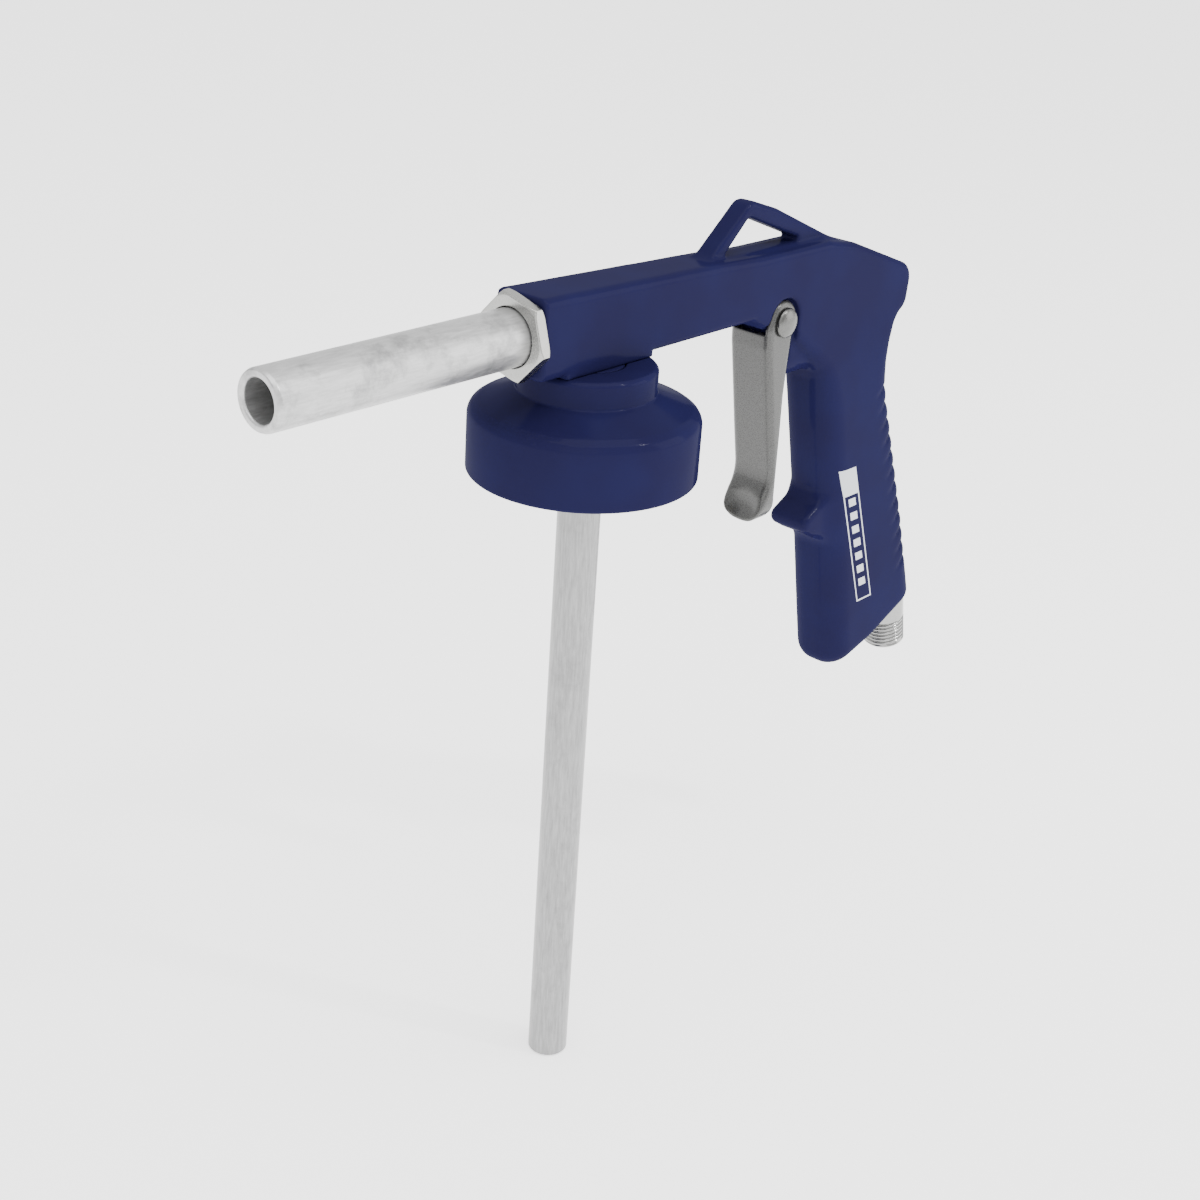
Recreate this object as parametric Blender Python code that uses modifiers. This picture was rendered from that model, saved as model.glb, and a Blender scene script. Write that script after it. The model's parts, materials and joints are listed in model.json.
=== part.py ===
"""Compressed-air coating gun with a suction tube and a swivelling can cap.

All dimensions are millimetres and become metres through MM. The nozzle points to -X,
+Z is up, and the origin lies on the can cap's axis in the plane of the can gasket.
"""

import math

import bmesh
import bpy
from mathutils import Matrix, Vector

MM = 0.001
GAP = 0.3  # clearance between neighbouring pieces
ROUND = 40  # sides of a turned piece
SMALL_ROUND = 24
TINY_ROUND = 16

# Barrel
BARREL_AXIS_Z = 26.5
BARREL_FRONT_X = -24.4
BARREL_REAR_X = 60.0
BARREL_BOTTOM_Z = 16.4
BARREL_FRONT_TOP_Z = 36.3
BARREL_REAR_TOP_Z = 33.4
BARREL_CORNER_R = 2.0
BARREL_FRONT_HALF_WIDTH = 8.0
BODY_HALF_WIDTH = 7.0
WEB_HALF_WIDTH = 4.9
BARREL_BORE_R = 6.3
MIXING_CHAMBER_END_X = 8.0
JET_BORE_R = 4.0
JET_BORE_END_X = 21.0
AIR_CHANNEL_R = 2.6

# Nozzle
NOZZLE_R = 7.0
NOZZLE_BORE_R = 4.85
NOZZLE_FRONT_X = -100.7
NOZZLE_THREAD_R = 6.0
NOZZLE_END_X = -8.0
NUT_FRONT_X = -28.0
NUT_ACROSS_FLATS = 19.0
NUT_TILT_DEG = 14.0

# Can cap, on the Z axis
CAP_R = 29.0
CAP_BOTTOM_Z = -13.0
CAP_THREAD_R = 25.2
CAP_SHOULDER = ((28.8, 2.6), (28.1, 3.8), (26.5, 4.9), (24.4, 5.6))
HUB_R = 17.45
HUB_FOOT_Z = 8.6
HUB_TOP_Z = 15.4
SEAT_Z = 1.5
RECESS_R = 17.0
RECESS_Z = 7.0
NECK_R = 9.0
NECK_BOTTOM_Z = 5.0
NECK_BORE_R = 5.8
NECK_BORE_TOP_Z = 14.0
SUCTION_PASSAGE_R = 3.0

# Suction tube
SUCTION_R = 5.5
SUCTION_BORE_R = 4.5
SUCTION_TOP_Z = 0.6
SUCTION_BOTTOM_Z = -189.7

# Grip
GRIP_BOTTOM_POINT = (120.0, -104.7)
GRIP_BOTTOM_RISE_DEG = 23.6

# Trigger and valve
PIVOT_X = 71.2
PIVOT_Z = 14.0
TRIGGER_HALF_WIDTH = 7.0
TRIGGER_WALL = 1.8
LIP_CORNER_R = 5.5  # of the spoon-shaped lip, seen from the front
LIP_BOTTOM_Z = -44.7
EAR_R = 6.0
PIN_R = 2.0
VALVE_Z = 1.0
VALVE_BOSS_R = 4.9
VALVE_BOSS_FRONT_X = 76.0
VALVE_BORE_R = 3.5
VALVE_BORE_END_X = 114.0
STEM_R = 1.3
STEM_TIP_X = 68.45
SEAT_X = 96.0

# Air inlet
INLET_END = (155.6, -109.6)
INLET_LEAN_DEG = 13.15
INLET_R = 6.58
INLET_SPOT_FACE = 20.5  # measured up the inlet's axis from its end
INLET_SHOULDER = 19.1
INLET_TOP = 32.0
INLET_BORE_R = 3.2

STEEL = (0.62, 0.62, 0.60)
ALUMINIUM = (0.66, 0.66, 0.65)
BRASS = (0.72, 0.53, 0.25)
RUBBER = (0.03, 0.03, 0.03)
PAINT = (0.024, 0.032, 0.115)
FIBRE = (0.35, 0.10, 0.06)


def clear_scene():
    for obj in list(bpy.data.objects):
        bpy.data.objects.remove(obj, do_unlink=True)


def new_collection(name):
    collection = bpy.data.collections.new(name)
    bpy.context.scene.collection.children.link(collection)
    return collection


clear_scene()
PARTS = new_collection("coating_gun")
CUTTERS = new_collection("cutters")


def finish_of(name, colour, roughness, metallic):
    material = bpy.data.materials.new(name)
    material.use_nodes = True
    shader = material.node_tree.nodes["Principled BSDF"]
    shader.inputs["Base Color"].default_value = (*colour, 1.0)
    shader.inputs["Roughness"].default_value = roughness
    shader.inputs["Metallic"].default_value = metallic
    return material


def place(name, mesh, material=None):
    """Links a mesh as a visible part, or as a cutter where it has no material."""
    obj = bpy.data.objects.new(name, mesh)
    if material is None:
        CUTTERS.objects.link(obj)
        obj.hide_render = True
        obj.display_type = "WIRE"
    else:
        PARTS.objects.link(obj)
        mesh.materials.append(material)
    return obj


def modify(obj, operation, other, solver="EXACT"):
    change = obj.modifiers.new(f"{operation.lower()} {other.name}", "BOOLEAN")
    change.operation = operation
    change.object = other
    change.solver = solver


def bevelled(obj, width, segments, angle_deg=50):
    edge = obj.modifiers.new("rounded edges", "BEVEL")
    edge.width = width * MM
    edge.segments = segments
    edge.limit_method = "ANGLE"
    edge.angle_limit = math.radians(angle_deg)
    return obj


def point(x, z, y=0.0):
    return Vector((x, y, z)) * MM


def turned(name, profile, start, direction, material=None, steps=ROUND):
    """A profile of (radius, distance along the axis) turned about start and direction.

    The profile runs down its outer side. It closes on itself where it stays off the axis.
    """
    mesh = bpy.data.meshes.new(name)
    points = [(radius * MM, 0.0, along * MM) for radius, along in profile]
    edges = [(i, i + 1) for i in range(len(points) - 1)]
    if profile[0][0] > 0:
        edges.append((len(points) - 1, 0))
    mesh.from_pydata(points, edges, [])
    obj = place(name, mesh, material)
    screw = obj.modifiers.new("turned", "SCREW")
    screw.steps = steps
    screw.render_steps = steps
    screw.use_merge_vertices = True
    screw.merge_threshold = 0.00001
    screw.use_smooth_shade = True
    obj.location = start
    obj.rotation_mode = "QUATERNION"
    obj.rotation_quaternion = Vector((0, 0, 1)).rotation_difference(Vector(direction))
    return obj


def tube_profile(inner, outer, bottom, top, chamfer=0.0):
    return [
        (inner, top),
        (outer - chamfer, top),
        (outer, top - chamfer),
        (outer, bottom + chamfer),
        (outer - chamfer, bottom),
        (inner, bottom),
    ] if chamfer else [(inner, top), (outer, top), (outer, bottom), (inner, bottom)]


def rod(name, radius, start, end, material=None, sides=SMALL_ROUND):
    """A round bar between two points."""
    shape = bmesh.new()
    span = end - start
    bmesh.ops.create_cone(
        shape,
        cap_ends=True,
        segments=sides,
        radius1=radius * MM,
        radius2=radius * MM,
        depth=span.length,
    )
    mesh = bpy.data.meshes.new(name)
    shape.to_mesh(mesh)
    shape.free()
    turn = Vector((0, 0, 1)).rotation_difference(span).to_matrix().to_4x4()
    mesh.transform(Matrix.Translation((start + end) / 2) @ turn)
    return place(name, mesh, material)


def box(name, low, high, material=None):
    shape = bmesh.new()
    bmesh.ops.create_cube(shape, size=1.0)
    mesh = bpy.data.meshes.new(name)
    shape.to_mesh(mesh)
    shape.free()
    low, high = Vector(low) * MM, Vector(high) * MM
    size = Matrix.Diagonal((*(high - low), 1.0))
    mesh.transform(Matrix.Translation((low + high) / 2) @ size)
    return place(name, mesh, material)


def slab(name, outline, half_thickness, material=None, centre=0.0, flat=False):
    """An outline of (x, z) points as a plate across Y, or of (x, y) points across Z if flat."""
    curve = bpy.data.curves.new(name, "CURVE")
    curve.dimensions = "2D"
    curve.fill_mode = "BOTH"
    curve.extrude = half_thickness * MM
    spline = curve.splines.new("POLY")
    spline.points.add(len(outline) - 1)
    for target, (along, up) in zip(spline.points, outline):
        target.co = (along * MM, up * MM, 0.0, 1.0)
    spline.use_cyclic_u = True
    guide = bpy.data.objects.new(name + "_outline", curve)
    CUTTERS.objects.link(guide)
    bpy.context.view_layer.update()
    evaluated = guide.evaluated_get(bpy.context.evaluated_depsgraph_get())
    mesh = bpy.data.meshes.new_from_object(evaluated)
    bpy.data.objects.remove(guide, do_unlink=True)
    if flat:
        mesh.transform(Matrix.Translation((0, 0, centre * MM)))
    else:
        upright = Matrix.Rotation(math.pi / 2, 4, "X")
        mesh.transform(Matrix.Translation((0, centre * MM, 0)) @ upright)
    shape = bmesh.new()
    shape.from_mesh(mesh)
    bmesh.ops.remove_doubles(shape, verts=shape.verts, dist=0.000001)
    bmesh.ops.recalc_face_normals(shape, faces=shape.faces)
    shape.to_mesh(mesh)
    shape.free()
    mesh.name = name
    return place(name, mesh, material)


def arc(centre, radius, start_deg, end_deg, steps):
    """Points on an arc, in the plane of the outline."""
    angles = [
        math.radians(start_deg + (end_deg - start_deg) * i / steps)
        for i in range(steps + 1)
    ]
    return [
        (centre[0] + radius * math.cos(a), centre[1] + radius * math.sin(a))
        for a in angles
    ]


def ring_section(front, back, half_width, corner, height, steps=4):
    """A horizontal rounded rectangle of the grip, as points in metres."""
    corners = (
        (back - corner, half_width - corner, 0),
        (front + corner, half_width - corner, 90),
        (front + corner, corner - half_width, 180),
        (back - corner, corner - half_width, 270),
    )
    flat = []
    for x, y, begin in corners:
        flat += arc((x, y), corner, begin, begin + 90, steps)
    return [Vector((x, y, height)) * MM for x, y in flat]


def upright_section(x, bottom, top, half_width, corner, steps=3):
    """A rounded rectangle across the barrel, as points in metres."""
    corners = (
        (half_width - corner, top - corner, 0),
        (corner - half_width, top - corner, 90),
        (corner - half_width, bottom + corner, 180),
        (half_width - corner, bottom + corner, 270),
    )
    flat = []
    for y, z, begin in corners:
        flat += arc((y, z), corner, begin, begin + 90, steps)
    return [Vector((x, y, z)) * MM for y, z in flat]


def loft(name, sections, material=None):
    """A closed solid through sections that have the same number of points."""
    shape = bmesh.new()
    rings = [[shape.verts.new(p) for p in section] for section in sections]
    count = len(rings[0])
    for lower, upper in zip(rings, rings[1:]):
        for i in range(count):
            j = (i + 1) % count
            shape.faces.new((lower[i], lower[j], upper[j], upper[i]))
    shape.faces.new(rings[0][::-1])
    shape.faces.new(rings[-1])
    bmesh.ops.recalc_face_normals(shape, faces=shape.faces)
    mesh = bpy.data.meshes.new(name)
    shape.to_mesh(mesh)
    shape.free()
    return place(name, mesh, material)


def helix(name, radius, wire, start_x, end_x, turns, z, material):
    """A compression spring along X, as a wire on a polyline."""
    steps = 12
    curve = bpy.data.curves.new(name, "CURVE")
    curve.dimensions = "3D"
    curve.bevel_depth = wire / 2 * MM
    curve.bevel_resolution = 1
    curve.use_fill_caps = True
    spline = curve.splines.new("POLY")
    count = turns * steps + 1
    spline.points.add(count - 1)
    for i, target in enumerate(spline.points):
        angle = 2 * math.pi * i / steps
        x = start_x + (end_x - start_x) * i / (count - 1)
        y = radius * math.cos(angle)
        target.co = (x * MM, y * MM, (z + radius * math.sin(angle)) * MM, 1.0)
    curve.materials.append(material)
    obj = bpy.data.objects.new(name, curve)
    PARTS.objects.link(obj)
    return obj


# The exact solver loses the body where its rounded shapes run into one another.
BODY_SOLVER = "MANIFOLD"
X_AXIS = (1, 0, 0)
Y_AXIS = (0, 1, 0)
Z_AXIS = (0, 0, 1)
BARREL_AXIS = point(0, BARREL_AXIS_Z)
VALVE_AXIS = point(0, VALVE_Z)
PIVOT = point(PIVOT_X, PIVOT_Z)
INLET_UP = Vector(
    (-math.sin(math.radians(INLET_LEAN_DEG)), 0, math.cos(math.radians(INLET_LEAN_DEG)))
)
INLET_FOOT = point(*INLET_END)


def casting_shapes(paint):
    """The outer shapes of the die-cast body, the first of which carries the others."""
    barrel_stations = (
        (BARREL_FRONT_X, BARREL_FRONT_TOP_Z, BARREL_FRONT_HALF_WIDTH),
        (45.0, 34.2, BODY_HALF_WIDTH + 0.25),
        (BARREL_REAR_X, BARREL_REAR_TOP_Z, BODY_HALF_WIDTH + 0.05),
    )
    body = loft(
        "gun_body",
        [
            upright_section(x, BARREL_BOTTOM_Z, top, half_width, BARREL_CORNER_R)
            for x, top, half_width in barrel_stations
        ],
        paint,
    )
    head_outline = [
        (50.0, 17.0),
        (57.5, 16.7),
        (62.0, 14.4),
        (64.5, 12.6),
        (66.9, 12.6),
        (68.6, 9.9),
        (78.0, 7.0),
        (84.0, 2.0),
        (93.0, -7.0),
        (124.2, -7.0),
        (125.5, -1.0),
        (127.2, 4.0),
        *arc((134.4, 0.3), 8.3, 138, 118, 2),
        *arc((127.6, 11.2), 4.3, -30, 0, 2),
        *arc((126.1, 16.2), 5.8, 0, 70, 4),
        (102.0, 31.0),
        (90.0, 33.1),
        (50.0, 33.2),
    ]
    head = bevelled(slab("head", head_outline, BODY_HALF_WIDTH), 1.6, 2)
    grip_stations = (
        (10.0, 93.0, 127.4, 6.6, 3.0),
        (2.0, 91.5, 126.5, 7.6, 4.5),
        (-8.0, 91.8, 126.3, 8.8, 7.0),
        (-16.0, 93.8, 127.6, 9.2, 8.0),
        (-27.0, 96.5, 132.8, 9.2, 8.0),
        (-61.0, 104.9, 146.7, 9.2, 8.0),
        (-88.0, 110.9, 157.0, 9.2, 8.0),
        (-94.0, 112.2, 158.0, 9.2, 8.0),
        (-101.0, 113.9, 158.0, 8.9, 7.5),
        (-105.0, 116.6, 158.0, 8.2, 7.0),
        (-107.2, 120.0, 158.0, 6.4, 5.5),
    )
    grip = loft(
        "grip",
        [
            ring_section(front, back, half_width, corner, height)
            for height, front, back, half_width, corner in reversed(grip_stations)
        ],
    )
    spur_outline = [
        (108.0, -43.0),
        (99.5, -45.9),
        *arc((95.1, -51.2), 2.7, 122, 235, 4),
        (97.6, -55.7),
        (102.0, -57.3),
        (110.0, -60.0),
    ]
    spur = bevelled(slab("spur", spur_outline, 6.6), 2.0, 2)
    web_outline = [
        (62.0, 18.0),
        (66.4, 15.0),
        *arc((PIVOT_X, PIVOT_Z), 4.6, 190, 260, 4),
        (77.0, 7.5),
        (77.5, 1.0),
        (96.0, -3.0),
        (100.0, 20.0),
    ]
    web = slab("web", web_outline, WEB_HALF_WIDTH)
    boss = rod(
        "valve_boss",
        VALVE_BOSS_R,
        point(VALVE_BOSS_FRONT_X, VALVE_Z),
        point(102.0, VALVE_Z),
    )
    hook_outline = [
        (39.8, 31.0),
        (41.3, 34.4),
        *arc((58.2, 42.8), 4.4, 137, 66, 5),
        (68.4, 44.2),
        (97.0, 32.0),
        (96.0, 29.0),
    ]
    hook = bevelled(slab("hook", hook_outline, 3.0), 1.0, 2)
    neck_block = box(
        "neck_block", (-15.6, -7.4, HUB_TOP_Z + GAP), (15.6, 7.4, BARREL_BOTTOM_Z + 2)
    )
    neck = rod(
        "neck", NECK_R, point(0, NECK_BOTTOM_Z), point(0, BARREL_BOTTOM_Z + 1.5)
    )
    for shape in (head, grip, spur, web, boss, hook, neck_block, neck):
        modify(body, "UNION", shape, BODY_SOLVER)
    return body


def swing_pockets():
    """Room beside the web for the trigger's ears and cheeks, on both sides."""
    outline = [
        *arc((PIVOT_X, PIVOT_Z), EAR_R + 0.5, 165, -20, 10),
        (81.0, 2.0),
        (83.0, -8.0),
        (63.4, -8.0),
        (63.4, 13.6),
    ]
    depth = 8.0
    side = WEB_HALF_WIDTH + depth / 2
    return [
        slab(f"pocket_{label}", outline, depth / 2, centre=side * sign)
        for label, sign in (("left", -1), ("right", 1))
    ]


def casting_cutters():
    hook_hole = slab(
        "hook_hole",
        [
            (46.3, 33.8),
            *arc((57.0, 41.5), 1.7, 140, 66, 3),
            *arc((78.0, 34.6), 0.9, 62, -70, 3),
            (55.0, 33.7),
        ],
        12.0,
    )
    floor_turn = Matrix.Rotation(-math.radians(GRIP_BOTTOM_RISE_DEG), 4, "Y")
    floor_cut = box("grip_floor", (-60, -20, -30), (80, 20, 0))
    floor_cut.matrix_world = Matrix.Translation(point(*GRIP_BOTTOM_POINT)) @ floor_turn
    barrel_bore = rod(
        "barrel_bore",
        BARREL_BORE_R,
        BARREL_AXIS + point(BARREL_FRONT_X - 5, 0),
        BARREL_AXIS + point(MIXING_CHAMBER_END_X, 0),
        sides=ROUND,
    )
    jet_bore = rod(
        "jet_bore",
        JET_BORE_R,
        BARREL_AXIS + point(MIXING_CHAMBER_END_X - 1, 0),
        BARREL_AXIS + point(JET_BORE_END_X, 0),
    )
    air_channel = rod(
        "air_channel",
        AIR_CHANNEL_R,
        BARREL_AXIS + point(JET_BORE_END_X - 1, 0),
        BARREL_AXIS + point(83.0, 0),
        sides=TINY_ROUND,
    )
    riser = rod(
        "riser", 1.8, point(81.5, VALVE_Z), point(81.5, BARREL_AXIS_Z), sides=TINY_ROUND
    )
    valve_bore = rod(
        "valve_bore",
        VALVE_BORE_R,
        VALVE_AXIS + point(VALVE_BOSS_FRONT_X - 5, 0),
        VALVE_AXIS + point(VALVE_BORE_END_X, 0),
    )
    spot_face = rod(
        "inlet_spot_face",
        INLET_R + GAP,
        INLET_FOOT,
        INLET_FOOT + INLET_UP * INLET_SPOT_FACE * MM,
    )
    inlet_bore = rod(
        "inlet_bore",
        4.9,
        INLET_FOOT + INLET_UP * (INLET_SPOT_FACE - 3) * MM,
        INLET_FOOT + INLET_UP * (INLET_TOP + 2) * MM,
    )
    grip_channel = rod(
        "grip_channel",
        2.6,
        INLET_FOOT + INLET_UP * (INLET_TOP + 1) * MM,
        point(109.0, VALVE_Z),
        sides=TINY_ROUND,
    )
    neck_bore = rod(
        "neck_bore", NECK_BORE_R, point(0, NECK_BOTTOM_Z - 3), point(0, NECK_BORE_TOP_Z)
    )
    suction_passage = rod(
        "suction_passage",
        SUCTION_PASSAGE_R,
        point(0, NECK_BORE_TOP_Z - 1),
        point(0, BARREL_AXIS_Z - 3),
        sides=TINY_ROUND,
    )
    o_ring_groove = turned(
        "neck_groove",
        tube_profile(6.9, NECK_R + 1, 9.8, 12.2),
        Vector((0, 0, 0)),
        Z_AXIS,
        steps=SMALL_ROUND,
    )
    pin_bore = rod(
        "pin_bore",
        PIN_R + GAP,
        PIVOT + point(0, 0, -12),
        PIVOT + point(0, 0, 12),
        sides=TINY_ROUND,
    )
    return [
        hook_hole,
        floor_cut,
        *swing_pockets(),
        barrel_bore,
        jet_bore,
        air_channel,
        riser,
        valve_bore,
        spot_face,
        inlet_bore,
        grip_channel,
        neck_bore,
        suction_passage,
        o_ring_groove,
        pin_bore,
    ]


def make_body(paint):
    body = casting_shapes(paint)
    for cutter in casting_cutters():
        modify(body, "DIFFERENCE", cutter, BODY_SOLVER)
    return body


def make_nozzle(aluminium, steel, brass, fibre):
    length = NOZZLE_END_X - NOZZLE_FRONT_X
    shoulder = NUT_FRONT_X + 0.8 - NOZZLE_FRONT_X
    turned(
        "nozzle_tube",
        [
            (NOZZLE_BORE_R, length),
            (NOZZLE_THREAD_R - 0.5, length),
            (NOZZLE_THREAD_R, length - 0.6),
            (NOZZLE_THREAD_R, shoulder),
            (NOZZLE_R, shoulder),
            (NOZZLE_R, 1.0),
            (NOZZLE_R - 0.35, 0.3),
            (NOZZLE_R - 0.9, 0.0),
            (NOZZLE_BORE_R + 0.6, 0.0),
            (NOZZLE_BORE_R, 0.6),
        ],
        BARREL_AXIS + point(NOZZLE_FRONT_X, 0),
        X_AXIS,
        aluminium,
    )
    corner = NUT_ACROSS_FLATS / 2 / math.cos(math.pi / 6)
    nut = rod(
        "nozzle_lock_nut",
        corner,
        BARREL_AXIS + point(NUT_FRONT_X, 0),
        BARREL_AXIS + point(BARREL_FRONT_X - GAP, 0),
        steel,
        sides=6,
    )
    nut.matrix_world = (
        Matrix.Translation(BARREL_AXIS)
        @ Matrix.Rotation(math.radians(NUT_TILT_DEG), 4, "X")
        @ Matrix.Translation(-BARREL_AXIS)
    )
    bore = turned(
        "nut_bore",
        [(0, 10.0), (6.3, 10.0), (6.3, 1.5), (7.5, 1.5), (7.5, -3.0), (0, -3.0)],
        BARREL_AXIS + point(NUT_FRONT_X, 0),
        X_AXIS,
    )
    modify(nut, "DIFFERENCE", bore)
    turned(
        "air_jet",
        [
            (0.9, 23.5),
            (3.0, 23.5),
            (3.7, 22.8),
            (3.7, 10.2),
            (5.2, 10.2),
            (5.2, 7.8),
            (3.0, 7.8),
            (1.9, 0.0),
            (0.9, 0.0),
        ],
        BARREL_AXIS + point(-3.6, 0),
        X_AXIS,
        brass,
        steps=SMALL_ROUND,
    )
    turned(
        "jet_seal",
        tube_profile(4.0, 5.4, 0.0, 0.8),
        BARREL_AXIS + point(6.9, 0),
        X_AXIS,
        fibre,
        steps=SMALL_ROUND,
    )


def make_cap(paint, rubber, steel, brass, aluminium):
    turned(
        "can_cap",
        [
            (NECK_R + GAP, HUB_TOP_Z),
            (HUB_R - 1.0, HUB_TOP_Z),
            (HUB_R - 0.3, HUB_TOP_Z - 0.3),
            (HUB_R, HUB_TOP_Z - 1.0),
            (HUB_R, HUB_FOOT_Z),
            *reversed(CAP_SHOULDER),
            (CAP_R, 1.6),
            (CAP_R, CAP_BOTTOM_Z + 0.6),
            (CAP_R - 0.6, CAP_BOTTOM_Z),
            (CAP_THREAD_R, CAP_BOTTOM_Z),
            (CAP_THREAD_R, 0.0),
            (CAP_THREAD_R + 0.6, 0.0),
            (CAP_THREAD_R + 0.6, SEAT_Z),
            (RECESS_R, SEAT_Z),
            (RECESS_R, RECESS_Z),
            (NECK_R + GAP, RECESS_Z),
        ],
        Vector((0, 0, 0)),
        Z_AXIS,
        paint,
        steps=56,
    )
    origin = Vector((0, 0, 0))
    turned(
        "cap_gasket",
        tube_profile(17.4, CAP_THREAD_R - 0.2, 0.0, SEAT_Z - GAP),
        origin,
        Z_AXIS,
        rubber,
    )
    turned(
        "thrust_washer", tube_profile(9.4, 15.2, 5.5, 6.7), origin, Z_AXIS, steel
    )
    turned(
        "neck_o_ring",
        [(8.05 + r, 11.0 + z) for r, z in reversed(arc((0, 0), 0.8, 0, 315, 7))],
        origin,
        Z_AXIS,
        rubber,
        steps=SMALL_ROUND,
    )
    turned(
        "fitting_seal", tube_profile(6.0, 8.8, 3.9, 4.7), origin, Z_AXIS, rubber, SMALL_ROUND
    )
    turned(
        "suction_fitting",
        [
            (SUCTION_PASSAGE_R, 13.0),
            (5.0, 13.0),
            (5.5, 12.5),
            (5.5, 3.6),
            (9.1, 3.6),
            (9.1, 5.2),
            (14.0, 5.2),
            (14.0, 1.6),
            (8.2, 1.6),
            (8.2, -8.0),
            (SUCTION_R + GAP, -8.0),
            (SUCTION_R + GAP, SUCTION_TOP_Z + GAP),
            (SUCTION_PASSAGE_R, SUCTION_TOP_Z + GAP),
        ],
        origin,
        Z_AXIS,
        brass,
        SMALL_ROUND,
    )
    turned(
        "suction_tube",
        tube_profile(SUCTION_BORE_R, SUCTION_R, SUCTION_BOTTOM_Z, SUCTION_TOP_Z, 0.25),
        origin,
        Z_AXIS,
        aluminium,
        SMALL_ROUND,
    )


def make_trigger(steel):
    front = [
        (64.8, 12.5),
        (65.2, 7.0),
        (70.1, -19.0),
        (72.0, -28.0),
        (71.9, -33.0),
        (69.7, -37.0),
        (67.8, -40.2),
        (68.7, -43.4),
    ]
    back = [
        (71.8, -44.6),
        (74.5, -41.0),
        (75.6, -36.0),
        (75.3, -18.0),
        (75.0, -7.0),
        (75.4, 0.5),
    ]
    ear = arc((PIVOT_X, PIVOT_Z), EAR_R, -35, 130, 10)
    outline = [*front, *back, *ear]
    trigger = slab("trigger", outline, TRIGGER_HALF_WIDTH, steel)
    bevelled(trigger, 1.2, 2)
    hollow = [
        (67.0, 30.0),
        (67.1, 7.0),
        (72.0, -19.0),
        (73.7, -28.0),
        (73.6, -34.0),
        (72.2, -38.5),
        (72.2, -41.6),
        (73.6, -42.4),
        (90.0, -40.0),
        (90.0, 30.0),
    ]
    modify(
        trigger,
        "DIFFERENCE",
        slab("trigger_hollow", hollow, TRIGGER_HALF_WIDTH - TRIGGER_WALL),
    )
    top_cut = box("trigger_top", (55, -5.21, 11.0), (68.5, 5.21, 25))
    modify(trigger, "DIFFERENCE", top_cut)
    side = TRIGGER_HALF_WIDTH + 1
    inset = TRIGGER_HALF_WIDTH - LIP_CORNER_R
    lip_view = slab(
        "trigger_front_view",
        [
            (side, 30.0),
            (-side, 30.0),
            (-side, LIP_BOTTOM_Z + LIP_CORNER_R + 3),
            (-TRIGGER_HALF_WIDTH, LIP_BOTTOM_Z + LIP_CORNER_R + 1),
            *arc((-inset, LIP_BOTTOM_Z + LIP_CORNER_R), LIP_CORNER_R, 180, 270, 5),
            *arc((inset, LIP_BOTTOM_Z + LIP_CORNER_R), LIP_CORNER_R, 270, 360, 5),
            (TRIGGER_HALF_WIDTH, LIP_BOTTOM_Z + LIP_CORNER_R + 1),
            (side, LIP_BOTTOM_Z + LIP_CORNER_R + 3),
        ],
        15.0,
    )
    lip_view.data.transform(Matrix.Rotation(math.pi / 2, 4, "Z"))
    lip_view.location = point(PIVOT_X, 0)
    modify(trigger, "INTERSECT", lip_view)
    modify(
        trigger,
        "DIFFERENCE",
        rod(
            "trigger_bore",
            PIN_R + GAP,
            PIVOT + point(0, 0, -15),
            PIVOT + point(0, 0, 15),
            sides=TINY_ROUND,
        ),
    )
    origin_to(trigger, PIVOT)


def origin_to(obj, place_m):
    """Moves an object's origin without moving its shape, cutters included."""
    obj.data.transform(Matrix.Translation(-place_m))
    obj.location = place_m


def make_pivot(steel):
    head = TRIGGER_HALF_WIDTH + GAP
    turned(
        "trigger_pivot_pin",
        [
            (0, head + 0.9),
            (1.6, head + 0.9),
            (PIN_R, head + 0.5),
            (PIN_R, -head),
            (4.1, -head),
            (4.0, -head - 0.6),
            (2.9, -head - 1.3),
            (1.4, -head - 1.7),
            (0, -head - 1.8),
        ],
        PIVOT,
        Y_AXIS,
        steel,
        steps=SMALL_ROUND,
    )
    turned(
        "pivot_retainer",
        tube_profile(PIN_R + GAP, 4.0, head, head + 0.8),
        PIVOT,
        Y_AXIS,
        steel,
        steps=SMALL_ROUND,
    )


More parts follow.
